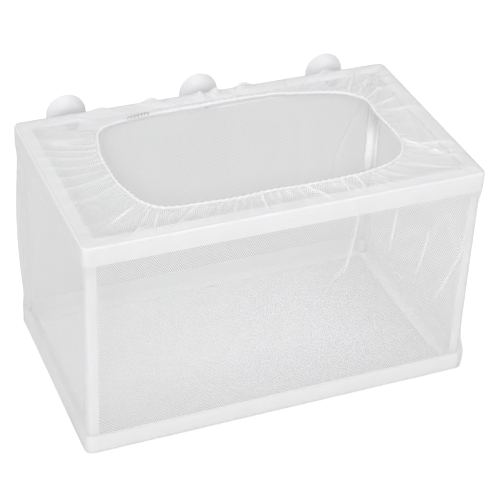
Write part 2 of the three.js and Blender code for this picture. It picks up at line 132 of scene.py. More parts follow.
PLEAT_STRENGTH_SHARES = (0.55, 0.45)  # its middle, and how far it varies
PLEAT_STRENGTH_WAVES = (24, 29)
PLEAT_SKEW = 0.8  # under 1, pleats are highest nearer to the frame
PLEAT_FULLNESS = 0.6  # the lower, the further they keep their height
CRUMPLE_HEIGHT = 0.0006
CRUMPLE_LEAN = 0.02
CRUMPLE_WAVES = (25, 71)
SKIRT_SAG = 0.0012
HEM_HOLD_SHARE = 0.3  # how much of its height a gather keeps at the hem
HEM_HOLD_REACH = 0.0022
PUFF_INSET = 0.0026
PUFF_DEPTH = 0.0028
PUFF_WHITENESS = 0.25

# Floor of the bag
FLOOR_LEVEL = 0.0006  # of the cloth under the frame
FLOOR_COLUMNS = 176
FLOOR_ROWS = 102
FLOOR_EDGE_BLEND = 0.006
FLOOR_SLACK_SHARE = 3  # of a strip's width, from the edge to where the floor is fully slack
NEAR_ZERO = 1e-9  # what a length is divided by instead of nothing
FLOOR_RIPPLE = 0.0002
RIPPLE_ALONG = (61, 2.1, 47)  # waves per 2 pi metres, sway in radians, and waves of that sway
RIPPLE_ACROSS = (83, 1.7, 29)
SEAM_LEVEL = 0.0007
SEAM_RADIUS = 0.0004
SEAM_SIDES = 8

# Hem, elastic and stitches
HEM_POINTS = 620
HEM_SIDES = 14
HEM_FILL_SHARE = 0.92  # of its radius in the model
HEM_LIFT = (0.0001, 0.0003)  # with the gathers, and at random
HEM_LIFT_WAVES = (31, 47)
HEM_RUFFLE_SHARE = 0.06
HEM_RUFFLE_UNEVENNESS = 1.1
HEM_RUFFLE_WAVES = (32, 83)
HEM_BUNCH = (-0.022, 0.036)  # x and width
HEM_BUNCH_SHARE = 0.5
ELASTIC_RADIUS = 0.0006
ELASTIC_SIDES = 10
STITCH_FROM = -0.062  # where the zigzag over the hem starts and ends
STITCH_TO = -0.045
STITCH_SAMPLES = 2400
STITCH_COUNT = 7
STITCH_REACH = 0.0017
STITCH_UNEVENNESS = 0.45
STITCH_WAVES = (33, 13)
STITCH_TOP_SHARE = 1.25  # of the hem's radius, above the hem's middle line
STITCH_DROP_SHARE = 0.5
STITCH_RADIUS = 0.00027
STITCH_TIP_RADIUS = 0.00002
STITCH_SIDES = 6

# Tulle
TULLE_PITCH = 0.0013
TULLE_COLOR = (0.735, 0.735, 0.745, 1)
TULLE_TRANSLUCENCY = 0.36
TULLE_THREAD_SHARE = 0.4  # of the pitch
HEM_THREAD_SHARE = 0.8
SEAM_THREAD_SHARE = 0.95
FAR_BLUR_SHARE = 0.88  # how far the rear panel's and the floor's holes blend with their threads
REAR_PAINTED_SHADE_TONE = 0.745  # painted shade: the rear panel's threads darkened to this share of the others' tone, standing for the shade inside the box
RIGHT_PAINTED_SHADE_SHARE = 0.66  # painted shade: how far the right panel's tone goes towards the rear panel's darker painted tone
FLOOR_PAINTED_SHADOW_TONE = 0.7  # painted shadow: tone of the floor's threads along its right and front seams, where the strips cast their shadow
# painted shadow: width of that darker band of the floor's threads along its right and front seams
FLOOR_PAINTED_SHADOW_WIDTH = 0.055
FOLD_COLOR = (0.97, 0.97, 0.97, 1)
YARN_ROUGHNESS = 0.55
YARN_SHEEN = 0.2
SEAM_COLOR = (0.93, 0.93, 0.93, 1)
SEAM_TRANSLUCENCY = 0.1
HEM_COLOR = (0.88, 0.88, 0.89, 1)
HEM_TRANSLUCENCY = 0.4
ELASTIC_COLOR = (0.9, 0.9, 0.9, 1)
STITCH_COLOR = (0.48, 0.48, 0.49, 1)

# Strips
PLASTIC_TINT = (0.855, 0.885)
PLASTIC_ROUGHNESS = (0.6, 0.72)
PLASTIC_SCATTER = (0.004, 0.004, 0.004)
RAIL_BEVEL = 0.00028
BEVEL_ANGLE = 50.0  # degrees between the faces of an edge that is softened
SHARP_ANGLE = 33.0  # and of one that stays sharp in the shading
FLAT_ANGLE = 1.0  # and of one that is taken out
CAD_WELD = 1e-6

# Suction cups, as in the model: radii, and distances from the rear strip's face
VINYL_COLOR = (0.66, 0.66, 0.67, 1)
VINYL_SCATTER = (0.014, 0.014, 0.014)  # how far light goes inside, about half a cup's width
VINYL_ROUGHNESS = (0.38, 0.5)
CUP_DEPTH = 0.0135
CUP_NECK_RADIUS = 0.0027
CUP_HEAD_RADIUS = 0.0043
CUP_HEAD_START = 0.0019
CUP_HEAD_LENGTH = 0.0030
CUP_HEAD_DOME_SHARE = 0.6  # of the radius, where a curve's guide point stands, as are those below
CUP_COLLAR_RADIUS = 0.0048
CUP_COLLAR_START = 0.0012
CUP_COLLAR_LENGTH = 0.0014
CUP_STEM_RADIUS = 0.0038
CUP_SHOULDER_SHARE = 0.75
CUP_SIDE_SHARE = 0.93
CUP_LIP_WIDTH = 0.0013
CUP_LIP_THICKNESS = 0.0010
CUP_HOLLOW_DEPTH = 0.0056
CUP_HOLLOW_SIDE_SHARE = 0.78
CUP_HOLLOW_TOP_SHARE = 0.5
CUP_ROUNDING = 0.0004
CUP_CORNER_SHARE = 0.3  # of the rounding at which a corner's middle point stands
CUP_HEAD_POINTS = 8
CUP_BELL_POINTS = 22
CUP_HOLLOW_POINTS = 18
CUP_SEGMENTS = 72
WELD_DISTANCE = 1e-7

top_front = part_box("top_rail_front")
top_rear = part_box("top_rail_rear")
bottom_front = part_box("bottom_rail_front")
hem_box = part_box("mouth_hem")
LEFT, FRONT = top_front[0][0], top_front[0][1]
RIGHT, REAR = top_rear[1][0], top_rear[1][1]
FOOT, TOP = bottom_front[0][2], top_rear[1][2]
MIDDLE = np.array([(LEFT + RIGHT) / 2, (FRONT + REAR) / 2])
HALF_LENGTH, HALF_WIDTH = (RIGHT - LEFT) / 2, (REAR - FRONT) / 2
RAIL_HEIGHT = top_front[1][2] - top_front[0][2]
PANEL_LOW, PANEL_HIGH = FOOT + RAIL_HEIGHT, TOP - RAIL_HEIGHT
FLANGE_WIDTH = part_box("top_rail_left")[1][0] - LEFT
HEM_RADIUS = (hem_box[1][2] - hem_box[0][2]) / 2
HEM_LEVEL = (hem_box[1][2] + hem_box[0][2]) / 2
HEM_LOW, HEM_HIGH = np.array(hem_box[0][:2]), np.array(hem_box[1][:2])
MOUTH_MIDDLE = (HEM_LOW + HEM_HIGH) / 2
MOUTH_HALF = (HEM_HIGH - HEM_LOW) / 2 - HEM_RADIUS

FRAME_BODY = "frame"


# Materials

def new_material(name):
    """An empty node material, its nodes and its output."""
    material = bpy.data.materials.new(name)
    material.use_nodes = True
    nodes = material.node_tree.nodes
    nodes.clear()
    return material, nodes, nodes.new("ShaderNodeOutputMaterial")


def joined(material, source, target):
    material.node_tree.links.new(source, target)


def math_node(material, operation, first, second=None, third=None):
    """A Math node on sockets or numbers, and its value."""
    node = material.node_tree.nodes.new("ShaderNodeMath")
    node.operation = operation
    for socket, value in zip(node.inputs, (first, second, third)):
        if isinstance(value, (int, float)):
            socket.default_value = value
        elif value is not None:
            joined(material, value, socket)
    return node.outputs[0]


def lattice_distance(material, across, along, shift):
    """Distance to the nearest point of a 1 by sqrt(3) lattice moved by a share of its cell, as (x, y)."""
    cells = []
    for value, period in ((across, 1.0), (along, math.sqrt(3))):
        moved = math_node(material, "ADD", value, shift * period + period / 2)
        wrapped = math_node(material, "FLOORED_MODULO", moved, period)
        cells.append(math_node(material, "ABSOLUTE", math_node(material, "SUBTRACT", wrapped, period / 2)))
    return cells


def hexagon_edge(material, across, along):
    """How far a place lies from the middle of its hexagonal hole: 0 there, 0.5 on the threads' midlines."""
    reaches = []
    for shift in (0.0, 0.5):
        x, y = lattice_distance(material, across, along, shift)
        slant = math_node(material, "ADD", math_node(material, "MULTIPLY", x, 0.5),
                          math_node(material, "MULTIPLY", y, math.sqrt(3) / 2))
        reaches.append(math_node(material, "MAXIMUM", x, slant))
    return math_node(material, "MINIMUM", *reaches)


def mapped(material, value, low, high):
    """A value turned into a share of the way from low to high."""
    share = material.node_tree.nodes.new("ShaderNodeMapRange")
    share.inputs["From Min"].default_value = low
    share.inputs["From Max"].default_value = high
    joined(material, value, share.inputs["Value"])
    return share.outputs["Result"]


def spread_over(material, value, span, target):
    """A share turned into a value in a span, and sent to a socket."""
    spread = material.node_tree.nodes.new("ShaderNodeMapRange")
    spread.inputs["To Min"].default_value = span[0]
    spread.inputs["To Max"].default_value = span[1]
    joined(material, value, spread.inputs["Value"])
    joined(material, spread.outputs["Result"], target)


def bumped(material, height, strength, distance, shader):
    """Small relief on a shader."""
    relief = material.node_tree.nodes.new("ShaderNodeBump")
    relief.inputs["Strength"].default_value = strength
    relief.inputs["Distance"].default_value = distance
    joined(material, height, relief.inputs["Height"])
    joined(material, relief.outputs[0], shader.inputs["Normal"])


def noise(material, place, scale):
    """A noise texture at a place, its larger lumps 1 / scale metres wide."""
    cloud = material.node_tree.nodes.new("ShaderNodeTexNoise")
    cloud.inputs["Scale"].default_value = scale
    joined(material, place.outputs["Object"], cloud.inputs["Vector"])
    return cloud


def axes(material, socket):
    """The x, y and z of a vector."""
    split = material.node_tree.nodes.new("ShaderNodeSeparateXYZ")
    joined(material, socket, split.inputs[0])
    return split.outputs


def mixed(material, share, first, second):
    """Two colours mixed by a share. The first may be a socket."""
    mix = material.node_tree.nodes.new("ShaderNodeMixRGB")
    joined(material, share, mix.inputs["Fac"])
    if isinstance(first, tuple):
        mix.inputs["Color1"].default_value = first
    else:
        joined(material, first, mix.inputs["Color1"])
    mix.inputs["Color2"].default_value = second
    return mix.outputs["Color"]


def floor_painted_shadow(material, place):
    """How much painted shadow the floor has, its threads darkened where the strips' shadow falls: all of it
    along its right and front seams.
    """
    right, front = RIGHT - FLANGE_WIDTH, FRONT + FLANGE_WIDTH
    to_right = mapped(material, place[0], right - FLOOR_PAINTED_SHADOW_WIDTH, right)
    to_front = mapped(material, place[1], front + FLOOR_PAINTED_SHADOW_WIDTH, front)
    return math_node(material, "MAXIMUM", to_right, to_front)


def side_painted_shade(material, place):
    """How much painted shade the rest of the bag has, its threads darkened to stand for the shade inside the
    box: all of it on the rear panel, some on the right one but for its front edge, and none on the top."""
    behind = mapped(material, place[1], REAR - FLANGE_WIDTH, REAR - RAIL_BEVEL)
    beside = mapped(material, place[0], RIGHT - FLANGE_WIDTH, RIGHT - RAIL_BEVEL)
    back = mapped(material, place[1], FRONT, FRONT + FLANGE_WIDTH)
    below = mapped(material, place[2], TOP - RAIL_BEVEL, TOP - RAIL_HEIGHT / 2)
    beside = math_node(material, "MULTIPLY", beside, back)
    beside = math_node(material, "MULTIPLY", beside, RIGHT_PAINTED_SHADE_SHARE)
    return math_node(material, "MULTIPLY", math_node(material, "MAXIMUM", behind, beside), below)


def tulle_material(name, color, thread_share, translucency, floor=False):
    """Fine hexagonal net: threads that light passes through a little, and holes. Where the cloth lies in
    folds its layers close the holes and look whiter. The rear and right panels carry painted shade, their
    threads darkened to stand for the shade inside the box, and the floor carries painted shadow along its
    right and front seams; their holes blend with their threads."""
    material, nodes, output = new_material(name)
    cloth = nodes.new("ShaderNodeUVMap")
    cloth.uv_map = "cloth"
    cloth_place = axes(material, cloth.outputs[0])
    across = math_node(material, "DIVIDE", cloth_place[0], TULLE_PITCH)
    along = math_node(material, "DIVIDE", cloth_place[1], TULLE_PITCH)
    edge = hexagon_edge(material, across, along)
    folded = nodes.new("ShaderNodeAttribute")
    folded.attribute_name = "fold"
    fold = folded.outputs["Fac"]
    closing = math_node(material, "MULTIPLY", fold, (1 - thread_share) / 2)
    limit = math_node(material, "SUBTRACT", 0.5 - thread_share / 2, closing)
    thread = math_node(material, "GREATER_THAN", edge, limit)

    place = axes(material, nodes.new("ShaderNodeTexCoord").outputs["Object"])
    # Painted shade and shadow: the threads are darkened on the rear and right panels and along the floor's
    # right and front seams
    if floor:
        painted_dark_share = floor_painted_shadow(material, place)
        tone, blur = FLOOR_PAINTED_SHADOW_TONE, FAR_BLUR_SHARE
    else:
        painted_dark_share = side_painted_shade(material, place)
        tone, blur = REAR_PAINTED_SHADE_TONE, math_node(material, "MULTIPLY", painted_dark_share, FAR_BLUR_SHARE)
    grey = mixed(material, painted_dark_share, color, tuple(tone * part for part in color[:3]) + (1,))
    whole = mixed(material, fold, grey, FOLD_COLOR)
    cover = 1 - (1 - thread_share) ** 2
    filled = math_node(material, "MULTIPLY_ADD", fold, 1 - cover, cover)
    to_filled = math_node(material, "SUBTRACT", filled, thread)
    evenly = math_node(material, "MULTIPLY_ADD", to_filled, blur, thread)

    yarn = nodes.new("ShaderNodeBsdfPrincipled")
    joined(material, whole, yarn.inputs["Base Color"])
    yarn.inputs["Roughness"].default_value = YARN_ROUGHNESS
    yarn.inputs["Sheen Weight"].default_value = YARN_SHEEN
    glow = nodes.new("ShaderNodeBsdfTranslucent")
    joined(material, whole, glow.inputs["Color"])
    lit = nodes.new("ShaderNodeMixShader")
    lit.inputs[0].default_value = translucency
    joined(material, yarn.outputs[0], lit.inputs[1])
    joined(material, glow.outputs[0], lit.inputs[2])
    hole = nodes.new("ShaderNodeBsdfTransparent")
    net = nodes.new("ShaderNodeMixShader")
    joined(material, evenly, net.inputs[0])
    joined(material, hole.outputs[0], net.inputs[1])
    joined(material, lit.outputs[0], net.inputs[2])
    joined(material, net.outputs[0], output.inputs[0])
    return material


def plastic_material():
    """White moulded plastic, satin, with the faint unevenness of a moulded face."""
    material, nodes, output = new_material("white_plastic")
    shader = nodes.new("ShaderNodeBsdfPrincipled")
    shader.inputs["Specular IOR Level"].default_value = 0.3
    shader.inputs["Subsurface Weight"].default_value = 0.08
    shader.inputs["Subsurface Radius"].default_value = PLASTIC_SCATTER
    place = nodes.new("ShaderNodeTexCoord")
    cloud = noise(material, place, 28.0)
    cloud.inputs["Detail"].default_value = 3.0
    spread_over(material, cloud.outputs["Fac"], PLASTIC_TINT, shader.inputs["Base Color"])
    spread_over(material, cloud.outputs["Fac"], PLASTIC_ROUGHNESS, shader.inputs["Roughness"])
    grain = noise(material, place, 900.0)
    bumped(material, grain.outputs["Fac"], 0.12, 0.0002, shader)
    joined(material, shader.outputs[0], output.inputs[0])
    return material


def cup_material():
    """Soft clear vinyl with a grey tint."""
    material, nodes, output = new_material("clear_vinyl")
    shader = nodes.new("ShaderNodeBsdfPrincipled")
    shader.inputs["Base Color"].default_value = VINYL_COLOR
    shader.inputs["Specular IOR Level"].default_value = 0.25
    shader.inputs["Subsurface Weight"].default_value = 1.0
    shader.inputs["Subsurface Radius"].default_value = VINYL_SCATTER
    shader.inputs["IOR"].default_value = 1.46
    smear = noise(material, nodes.new("ShaderNodeTexCoord"), 160.0)
    spread_over(material, smear.outputs["Fac"], VINYL_ROUGHNESS, shader.inputs["Roughness"])
    joined(material, shader.outputs[0], output.inputs[0])
    return material


def thread_material(name, color):
    """Twisted thread or cord: bands that run round it."""
    material, nodes, output = new_material(name)
    shader = nodes.new("ShaderNodeBsdfPrincipled")
    shader.inputs["Base Color"].default_value = color
    shader.inputs["Roughness"].default_value = 0.7
    place = nodes.new("ShaderNodeTexCoord")
    twist = nodes.new("ShaderNodeTexWave")
    twist.bands_direction = "DIAGONAL"
    twist.inputs["Scale"].default_value = 700.0
    joined(material, place.outputs["Object"], twist.inputs["Vector"])
    bumped(material, twist.outputs["Fac"], 0.5, 0.0001, shader)
    joined(material, shader.outputs[0], output.inputs[0])
    return material


def floor_material():
    """White paper lit from below."""
    material, nodes, output = new_material("studio_floor")
    paper = nodes.new("ShaderNodeBsdfDiffuse")
    paper.inputs["Color"].default_value = FLOOR_COLOR
    glow = nodes.new("ShaderNodeEmission")
    glow.inputs["Strength"].default_value = FLOOR_GLOW
    both = nodes.new("ShaderNodeAddShader")
    joined(material, paper.outputs[0], both.inputs[0])
    joined(material, glow.outputs[0], both.inputs[1])
    joined(material, both.outputs[0], output.inputs[0])
    return material


tulle = tulle_material("white_tulle", TULLE_COLOR, TULLE_THREAD_SHARE, TULLE_TRANSLUCENCY)
floor_tulle = tulle_material("floor_tulle", TULLE_COLOR, TULLE_THREAD_SHARE, TULLE_TRANSLUCENCY, floor=True)
seam_tulle = tulle_material("seam_tulle", SEAM_COLOR, SEAM_THREAD_SHARE, SEAM_TRANSLUCENCY)
hem_tulle = tulle_material("folded_tulle", HEM_COLOR, HEM_THREAD_SHARE, HEM_TRANSLUCENCY)
plastic = plastic_material()
vinyl = cup_material()
white_thread = thread_material("white_thread", ELASTIC_COLOR)
grey_thread = thread_material("grey_thread", STITCH_COLOR)


# Meshes

def piece(name, mesh, material, slot, *nodes):
    """A new piece on the frame's body that stands for those nodes."""
    thing = bpy.data.objects.new(name, mesh)
    bpy.context.scene.collection.objects.link(thing)
    mesh.materials.append(material)
    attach(thing, FRAME_BODY)
    if nodes:
        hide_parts(*nodes)
    return thing


def grid_mesh(name, points, places, closed=True, fold=None):
    """A sheet through rows of points, closed round its columns, with the cloth's own coordinates in
    metres in its UV map. Places has one more column than points where the sheet is closed. Fold says how
    closely the cloth is folded at each point, from 0 to 1."""
    rows, columns = points.shape[:2]
    mesh = bpy.data.meshes.new(name)
    spans = columns if closed else columns - 1
    row, column = np.meshgrid(np.arange(rows - 1), np.arange(spans), indexing="ij")
    following = (column + 1) % columns
    corners = [(row, column, column), (row, following, column + 1),
               (row + 1, following, column + 1), (row + 1, column, column)]
    faces = np.stack([r * columns + c for r, c, _ in corners], -1).reshape(-1, 4)
    mesh.from_pydata(points.reshape(-1, 3).tolist(), [], faces.tolist())
    layer = mesh.uv_layers.new(name="cloth")
    cloth = np.stack([places[r, u] for r, _, u in corners], -2).reshape(-1, 2)
    layer.data.foreach_set("uv", cloth.ravel())
    if fold is not None:
        attribute = mesh.attributes.new(name="fold", type="FLOAT", domain="POINT")
        attribute.data.foreach_set("value", np.clip(fold, 0, 1).ravel())
    mesh.polygons.foreach_set("use_smooth", [True] * len(mesh.polygons))
    mesh.update()
    return mesh


def rounded_outline(half_length, half_width, radius, count):
    """Points of a rounded rectangle about the frame's middle, anticlockwise from the middle of its front
    side and closest together there, with their outward directions and how far round each one is. The last
    distance is the outline's whole length."""
    centres = [(1, -1, -90), (1, 1, 0), (-1, 1, 90), (-1, -1, 180)]
    points = [(0.0, -half_width)]
    for side_x, side_y, start in centres:
        for step in range(CORNER_STEPS + 1):
            angle = math.radians(start + 90 * step / CORNER_STEPS)
            points.append((side_x * (half_length - radius) + radius * math.cos(angle),
                           side_y * (half_width - radius) + radius * math.sin(angle)))
    points.append(points[0])
    points = np.array(points)
    lengths = np.concatenate([[0], np.cumsum(np.linalg.norm(np.diff(points, axis=0), axis=1))])
    middles = np.linspace(0, lengths[-1], OUTLINE_SAMPLES)
    on_front = np.minimum(middles, lengths[-1] - middles) < half_length
    density = np.cumsum(np.where(on_front, FRONT_DENSITY, 1.0))
    density = (density - density[0]) / (density[-1] - density[0])
    spots = np.interp(np.arange(count + 1) / count, density, middles)
    even = np.stack([np.interp(spots[:-1], lengths, points[:, axis]) for axis in range(2)], -1)
    along = np.roll(even, -1, axis=0) - np.roll(even, 1, axis=0)
    outward = np.stack([along[:, 1], -along[:, 0]], -1)
    outward /= np.linalg.norm(outward, axis=1, keepdims=True)
    return even + MIDDLE, outward, spots


def random_curve(seed, count):
    """A smooth random curve from -1 to 1 that closes on itself as its place goes from 0 to 1."""
    values = np.random.default_rng(seed).uniform(-1, 1, count)

    def curve(place):
        spot = np.mod(place, 1) * count
        start = np.floor(spot).astype(int)
        share = spot - start
        share = share * share * (3 - 2 * share)
        return values[start % count] * (1 - share) + values[(start + 1) % count] * share

    return curve


def bump(value, middle, width):
    """A smooth hump: 1 at the middle, and a third of that a width away."""
    return np.exp(-((value - middle) / width) ** 2)


def smooth_step(value, low, high):
    """A smooth rise from 0 at low to 1 at high."""
    share = np.clip((value - low) / (high - low), 0, 1)
    return share * share * (3 - 2 * share)


def nearest_on_line(across, up, line):
    """The nearest places of a line of points, and how far along the line they are, from 0 to 1."""
    gap = np.full(across.shape, np.inf)
    reached, near_across, near_up = (np.zeros(across.shape) for _ in range(3))
    spans = len(line) - 1
    for index in range(spans):
        start, end = np.array(line[index]), np.array(line[index + 1])
        step = end - start
        share = ((across - start[0]) * step[0] + (up - start[1]) * step[1]) / (step @ step)
        share = np.clip(share, 0, 1)
        foot_across, foot_up = start[0] + share * step[0], start[1] + share * step[1]
        distance = np.hypot(across - foot_across, up - foot_up)
        closer = distance < gap
        gap = np.where(closer, distance, gap)
        reached = np.where(closer, (index + share) / spans, reached)
        near_across = np.where(closer, foot_across, near_across)
        near_up = np.where(closer, foot_up, near_up)
    return near_across, near_up, reached


def crease(across, up, line, width):
    """A fold along a line: how strongly each place belongs to it, and how far the cloth there is drawn
    towards its ridge, so that the threads lie closer together on it. It fades out at both ends."""
    near_across, near_up, reached = nearest_on_line(across, up, line)
    pull_across, pull_up = near_across - across, near_up - up
    fade = np.sin(np.pi * np.clip(FOLD_START_SHARE + (1 - FOLD_START_SHARE) * reached, 0, 1)) ** 0.5
    strength = fade * np.exp(-(pull_across ** 2 + pull_up ** 2) / width ** 2)
    return strength, FOLD_PULL_SHARE * strength * pull_across, FOLD_PULL_SHARE * strength * pull_up


# Bag

# Folds of the front of the bag: points from the top down as (x, z), then how far it stands out
FRONT_FOLDS = [
    ([(0.041, 0.156), (0.044, 0.141), (0.042, 0.127), (0.040, 0.115), (0.037, 0.104), (0.030, 0.097),
      (0.025, 0.089)], 0.0030),
    ([(0.071, 0.145), (0.070, 0.129), (0.069, 0.111)], 0.0014),
    ([(0.096, 0.121), (0.094, 0.107), (0.090, 0.086)], 0.0016),
    ([(0.124, 0.117), (0.120, 0.095), (0.110, 0.073), (0.105, 0.061)], 0.0022),
]
# The same for the rear, seen from the front
REAR_FOLDS = [
    ([(0.119, 0.128), (0.104, 0.093), (0.100, 0.081)], 0.0016),
]
# Folds of the gathered top, from the mouth outwards as (x, y), then how high they stand
SKIRT_FOLDS = [
    ([(-0.012, -0.058), (-0.015, -0.080)], 0.0016),
    ([(0.016, -0.059), (0.028, -0.078)], 0.0018),
    ([(0.040, -0.059), (0.041, -0.078)], 0.0024),
    ([(0.052, -0.058), (0.051, -0.076)], 0.0014),
    ([(-0.080, -0.052), (-0.098, -0.074)], 0.0020),
    ([(-0.076, -0.054), (-0.088, -0.078)], 0.0018),
    ([(-0.088, -0.046), (-0.112, -0.062)], 0.0014),
    ([(0.090, 0.036), (0.106, 0.062)], 0.0024),
    ([(0.094, 0.031), (0.114, 0.054)], 0.0024),
    ([(0.097, 0.024), (0.119, 0.041)], 0.0022),
    ([(0.099, 0.015), (0.122, 0.026)], 0.0018),
    ([(0.099, -0.030), (0.124, -0.058)], 0.0018),
]
# Puffs of the skirt over the rear rail: x, height, width
REAR_PUFFS = [(-0.076, 0.0026, 0.007), (-0.041, 0.0042, 0.005), (-0.006, 0.0034, 0.004),
              (0.006, 0.0036, 0.004), (0.027, 0.0048, 0.006), (0.088, 0.0036, 0.006)]

# Where the mouth's curve leaves its even shape: turn in degrees, how far outwards, width in degrees
MOUTH_SWAYS = [(3, -0.0012, 13), (27, 0.0016, 8), (52, -0.0050, 14), (86, -0.0006, 30),
               (135, 0.0024, 9), (153, -0.0013, 9), (208, -0.0014, 8), (229, 0.0036, 8),
               (264, -0.0013, 9)]


def slack(facing, y, height, stand, back, width, level, reach):
    """Cloth that hangs past the foot of a side, most of it a little way behind the front."""
    return stand * facing * (bump(y, FRONT + back, width) * bump(height, level, reach))


def between_rings(height):
    """How far the cloth has gone in to the posts at a height: 0 over the rings, 1 between them."""
    above = smooth_step(height, PANEL_LOW - TUCK_OVERLAP, PANEL_LOW + TUCK_REACH)
    below = smooth_step(-height, -PANEL_HIGH - TUCK_OVERLAP, -PANEL_HIGH + TUCK_REACH)
    return above * below


def side_shape(outline, outward, share, height):
    """How far the bag's sides stand out from the strips at each height of each column, and how far the
    cloth is drawn along them and upwards into its folds, and how closely it is folded there."""
    x = outline[None, :, 0] + np.zeros_like(height)
    y = outline[None, :, 1] + np.zeros_like(height)
    facing_x = outward[None, :, 0] + np.zeros_like(height)
    facing_y = outward[None, :, 1] + np.zeros_like(height)
    span = np.clip((height - PANEL_LOW) / (PANEL_HIGH - PANEL_LOW), 0, 1)
    belly = np.sin(np.pi * span) ** BELLY_POWER
    between = between_rings(height)
    inside_x = np.clip(1 - (np.abs(x - MIDDLE[0]) / HALF_LENGTH) ** PANEL_POWER, 0, 1)
    inside_y = np.clip(1 - (np.abs(y - MIDDLE[1]) / HALF_WIDTH) ** PANEL_POWER, 0, 1)
    front = np.clip(-facing_y, 0, 1) ** LONG_FACING_POWER
    rear = np.clip(facing_y, 0, 1) ** LONG_FACING_POWER
    left = np.clip(-facing_x, 0, 1) ** SHORT_FACING_POWER
    right = np.clip(facing_x, 0, 1) ** SHORT_FACING_POWER

    waves = random_curve(*BROAD_WAVES)(share + BROAD_LEAN * span)
    waves = waves + FINE_WAVE_SHARE * random_curve(*FINE_WAVES)(share - FINE_LEAN * span)
    to_rear = smooth_step(y, MIDDLE[1] - HALF_WIDTH, MIDDLE[1])
    offset = FABRIC_GAP - POST_TUCK * between
    offset += belly * (front + rear) * inside_x * LONG_WAVE_HEIGHT * waves
    offset += belly * right * (RIGHT_BULGE * inside_y + RIGHT_WAVE_HEIGHT * waves)
    offset += belly * left * (LEFT_BULGE * to_rear + LEFT_WAVE_HEIGHT * waves)
    offset += slack(left, y, height, *LEFT_SLACK)
    offset += slack(right, y, height, *RIGHT_SLACK)

    along, upward, folded = (np.zeros_like(height) for _ in range(3))
    over_strips = FOLD_ON_STRIP_SHARE + (1 - FOLD_ON_STRIP_SHARE) * between
    for folds, side, turn in ((FRONT_FOLDS, front, 1), (REAR_FOLDS, rear, -1)):
        for line, stand in folds:
            strength, pull_across, pull_up = crease(x, height, line, FOLD_WIDTH)
            offset += side * stand * over_strips * strength
            along += turn * side * pull_across
            upward += side * pull_up
            folded += side * FOLD_WHITENESS * strength ** 2
    return offset, along, upward, folded


def mouth_points(directions, grow):
    """Where rays from the mouth's middle cross its uneven curve, widened by grow."""
    scaled = np.abs(directions) / (MOUTH_HALF + grow)
    reach = (scaled ** MOUTH_POWER).sum(axis=-1, keepdims=True) ** (-1 / MOUTH_POWER)
    turn = np.degrees(np.arctan2(directions[..., 1] / MOUTH_HALF[1], directions[..., 0] / MOUTH_HALF[0]))
    sway = np.zeros_like(turn)
    for middle, out, width in MOUTH_SWAYS:
        sway += out * bump((turn - middle + 180) % 360 - 180, 0, width)
    unit = directions / np.linalg.norm(directions, axis=-1, keepdims=True)
    return MOUTH_MIDDLE + reach * directions + sway[..., None] * unit


def gathers(column, way, to_hem):
    """Fine gathers at the hem, and wider pleats that reach further out: their height, how far the cloth
    slides along the mouth into each of them, so that its threads lie closer together on the ridges, and
    how closely it is folded there."""
    drift = GATHER_DRIFT_SHARE * random_curve(*DRIFT_WAVES)(column) * way
    uneven = GATHER_UNEVENNESS * random_curve(*GATHER_WAVES)(column)
    phase = 2 * np.pi * (GATHER_COUNT * (column + drift) + uneven)
    fine = np.exp(-to_hem / GATHER_REACH)
    uneven = PLEAT_UNEVENNESS * random_curve(*PLEAT_WAVES)(column)
    wide_phase = 2 * np.pi * (PLEAT_COUNT * (column - drift) + uneven)
    middle, reach = PLEAT_STRENGTH_SHARES
    strength = middle + reach * random_curve(*PLEAT_STRENGTH_WAVES)(column)
    strength = strength * np.sin(np.pi * np.clip(way, 0, 1) ** PLEAT_SKEW) ** PLEAT_FULLNESS
    crest = (0.5 + 0.5 * np.cos(wide_phase)) ** PLEAT_POWER
    height = GATHER_HEIGHT * fine * np.cos(phase) + PLEAT_HEIGHT * strength * crest
    slide = -GATHER_SLIDE * fine * np.sin(phase) - PLEAT_SLIDE * strength * np.sin(wide_phase)
    folded = GATHER_WHITENESS * fine * (0.5 + 0.5 * np.cos(phase)) ** 2
    folded += PLEAT_WHITENESS * np.clip(strength, 0, 1) * crest ** 3
    return height, slide, folded


